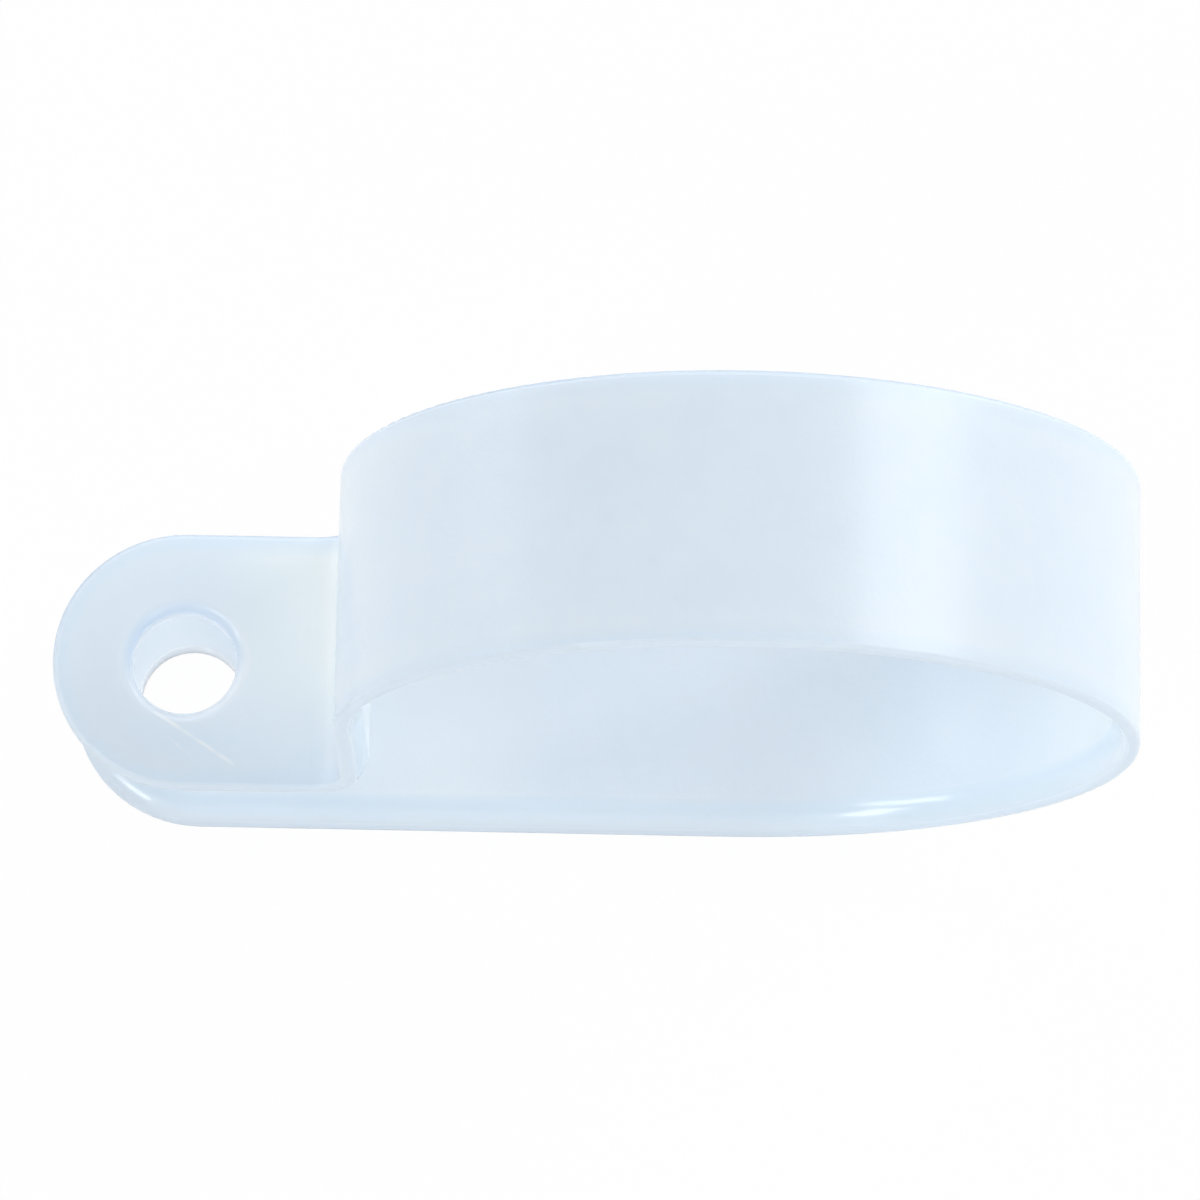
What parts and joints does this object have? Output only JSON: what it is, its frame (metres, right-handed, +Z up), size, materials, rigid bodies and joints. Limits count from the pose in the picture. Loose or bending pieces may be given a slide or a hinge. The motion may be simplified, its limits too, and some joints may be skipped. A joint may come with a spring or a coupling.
{
  "type": "cable clamp",
  "caption": "P-shaped moulded nylon cable clamp, shown open: a thin strap with a flat base, a round loop and parallel tabs that share a screw hole.",
  "frame": {"origin": "axis of the screw hole, on the underside of the lower tab", "axes": "+X along the base from the screw hole to the loop, +Y along the cable, +Z up from the surface that the clamp is screwed to"},
  "size_m": [0.0387, 0.0094, 0.0282],
  "materials": {
    "natural_nylon": "satin, milky and slightly translucent"
  },
  "bodies": {
    "root": {"clamp": "natural_nylon"}
  },
  "joints": []
}
